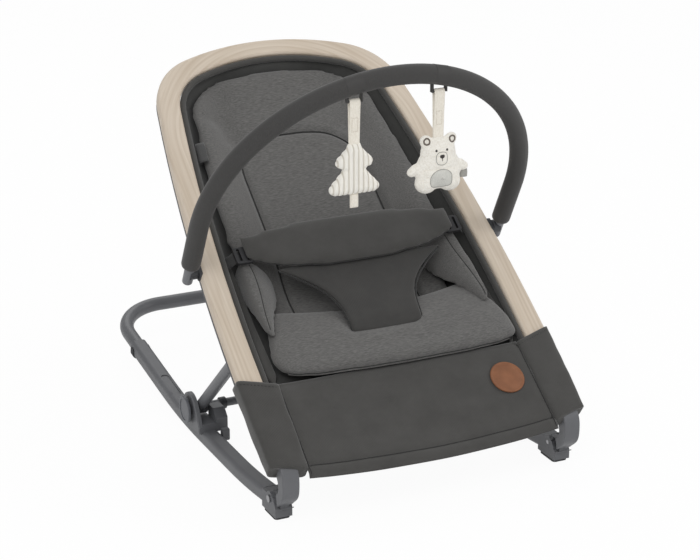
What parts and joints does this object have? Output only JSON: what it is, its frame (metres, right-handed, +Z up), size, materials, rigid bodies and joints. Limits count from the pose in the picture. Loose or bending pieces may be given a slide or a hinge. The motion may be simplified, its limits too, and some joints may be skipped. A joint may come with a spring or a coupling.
{
  "type": "bouncer seat",
  "caption": "Fold-flat baby bouncer on curved rocker rails: sloping bentwood frame with a padded sling, lap belt, crotch flap and a foam toy bar with hanging toys.",
  "frame": {"origin": "on the floor, under the middle of the width and length", "axes": "+X to the right as seen from the front, +Y to the rear, +Z up"},
  "size_m": [0.519, 0.73, 0.5822],
  "materials": {
    "base_plastic": "satin",
    "button_plastic": "satin",
    "base_tube": "powder coat",
    "steel": "satin",
    "rubber": "matte",
    "dark_plastic": "matte",
    "wood": "satin",
    "dark_cloth": "twill",
    "heather_cloth": "jersey",
    "webbing": "woven",
    "leather": "satin",
    "tag_cloth": "matte",
    "bar_metal": "satin",
    "foam": "foam",
    "toy_cream": "corduroy",
    "toy_grey": "jersey"
  },
  "bodies": {
    "base": {"rear_base_tube": "base_tube", "front_pivot_pins": "steel", "rail_screws": "steel", "left_rocker_rail": "base_plastic", "right_rocker_rail": "base_plastic", "left_front_foot": "base_plastic", "right_front_foot": "base_plastic", "left_foot_pad": "rubber", "right_foot_pad": "rubber", "left_hinge_housing": "base_plastic", "right_hinge_housing": "base_plastic", "left_rear_pad": "rubber", "right_rear_pad": "rubber"},
    "seat": {"wood_frame": "wood", "frame_back": "dark_plastic", "sling_rim": "dark_cloth", "seat_sling": "dark_cloth", "backrest_pad": "heather_cloth", "seat_pad": "heather_cloth", "front_panel": "dark_cloth", "waist_belt": "dark_cloth", "crotch_flap": "dark_cloth", "leather_badge": "leather", "side_tag": "tag_cloth", "leg_pivot_pins": "steel", "left_frame_sleeve": "dark_cloth", "right_frame_sleeve": "dark_cloth", "left_hip_bolster": "heather_cloth", "right_hip_bolster": "heather_cloth", "left_belt_buckle": "dark_plastic", "right_belt_buckle": "dark_plastic", "left_belt_webbing": "webbing", "right_belt_webbing": "webbing", "left_front_bracket": "base_plastic", "right_front_bracket": "base_plastic", "left_bar_mount": "dark_plastic", "right_bar_mount": "dark_plastic"},
    "legs": {"crossbar": "base_tube", "left_leg_tube": "base_tube", "right_leg_tube": "base_tube", "left_leg_collar": "dark_plastic", "right_leg_collar": "dark_plastic"},
    "toy_bar": {"bar_tube": "bar_metal", "foam_sleeve": "foam", "bar_plugs": "bar_metal", "left_bar_hub": "dark_plastic", "right_bar_hub": "dark_plastic", "left_toy_loop": "dark_plastic", "right_toy_loop": "dark_plastic"},
    "tree_toy": {"tree_strap": "toy_cream", "tree_body": "toy_cream", "tree_trunk": "toy_cream"},
    "bear_toy": {"bear_strap": "toy_cream", "bear_body": "toy_cream", "bear_muzzle": "toy_cream", "bear_patch": "toy_grey"},
    "left_button": {"left_release_button": "button_plastic"},
    "right_button": {"right_release_button": "button_plastic"},
    "left_stop": {"left_rocking_stop": "base_plastic"},
    "right_stop": {"right_rocking_stop": "base_plastic"}
  },
  "joints": [
    {"name": "seat_fold", "type": "hinge", "parent": "base", "child": "seat", "pos_m": [0, -0.3165, 0.0255], "axis": [-1, 0, 0], "range_deg": [0, 32.5]},
    {"name": "legs_fold", "type": "hinge", "parent": "seat", "child": "legs", "pos_m": [0, -0.18336, 0.18138], "axis": [1, 0, 0], "range_deg": [0, 65]},
    {"name": "toy_bar_swing", "type": "hinge", "parent": "seat", "child": "toy_bar", "pos_m": [0, -0.08051, 0.27484], "axis": [1, 0, 0], "range_deg": [-45, 45]},
    {"name": "tree_swing", "type": "hinge", "parent": "toy_bar", "child": "tree_toy", "pos_m": [-0.0635, -0.23342, 0.54042], "axis": [1, 0, 0], "range_deg": [-35, 35]},
    {"name": "bear_swing", "type": "hinge", "parent": "toy_bar", "child": "bear_toy", "pos_m": [0.0635, -0.23342, 0.54042], "axis": [1, 0, 0], "range_deg": [-35, 35]},
    {"name": "left_button_press", "type": "slide", "parent": "base", "child": "left_button", "axis": [1, 0, 0], "range_m": [0, 0.004], "stiffness_N_per_m": 600},
    {"name": "left_stop_flip", "type": "hinge", "parent": "base", "child": "left_stop", "pos_m": [-0.2165, -0.0815, 0.0145], "axis": [1, 0, 0], "range_deg": [0, 180]},
    {"name": "right_button_press", "type": "slide", "parent": "base", "child": "right_button", "axis": [-1, 0, 0], "range_m": [0, 0.004], "stiffness_N_per_m": 600},
    {"name": "right_stop_flip", "type": "hinge", "parent": "base", "child": "right_stop", "pos_m": [0.2165, -0.0815, 0.0145], "axis": [1, 0, 0], "range_deg": [0, 180]}
  ],
  "couplings": [
    {"joint": "legs_fold", "follows": "seat_fold", "ratio": 2}
  ]
}
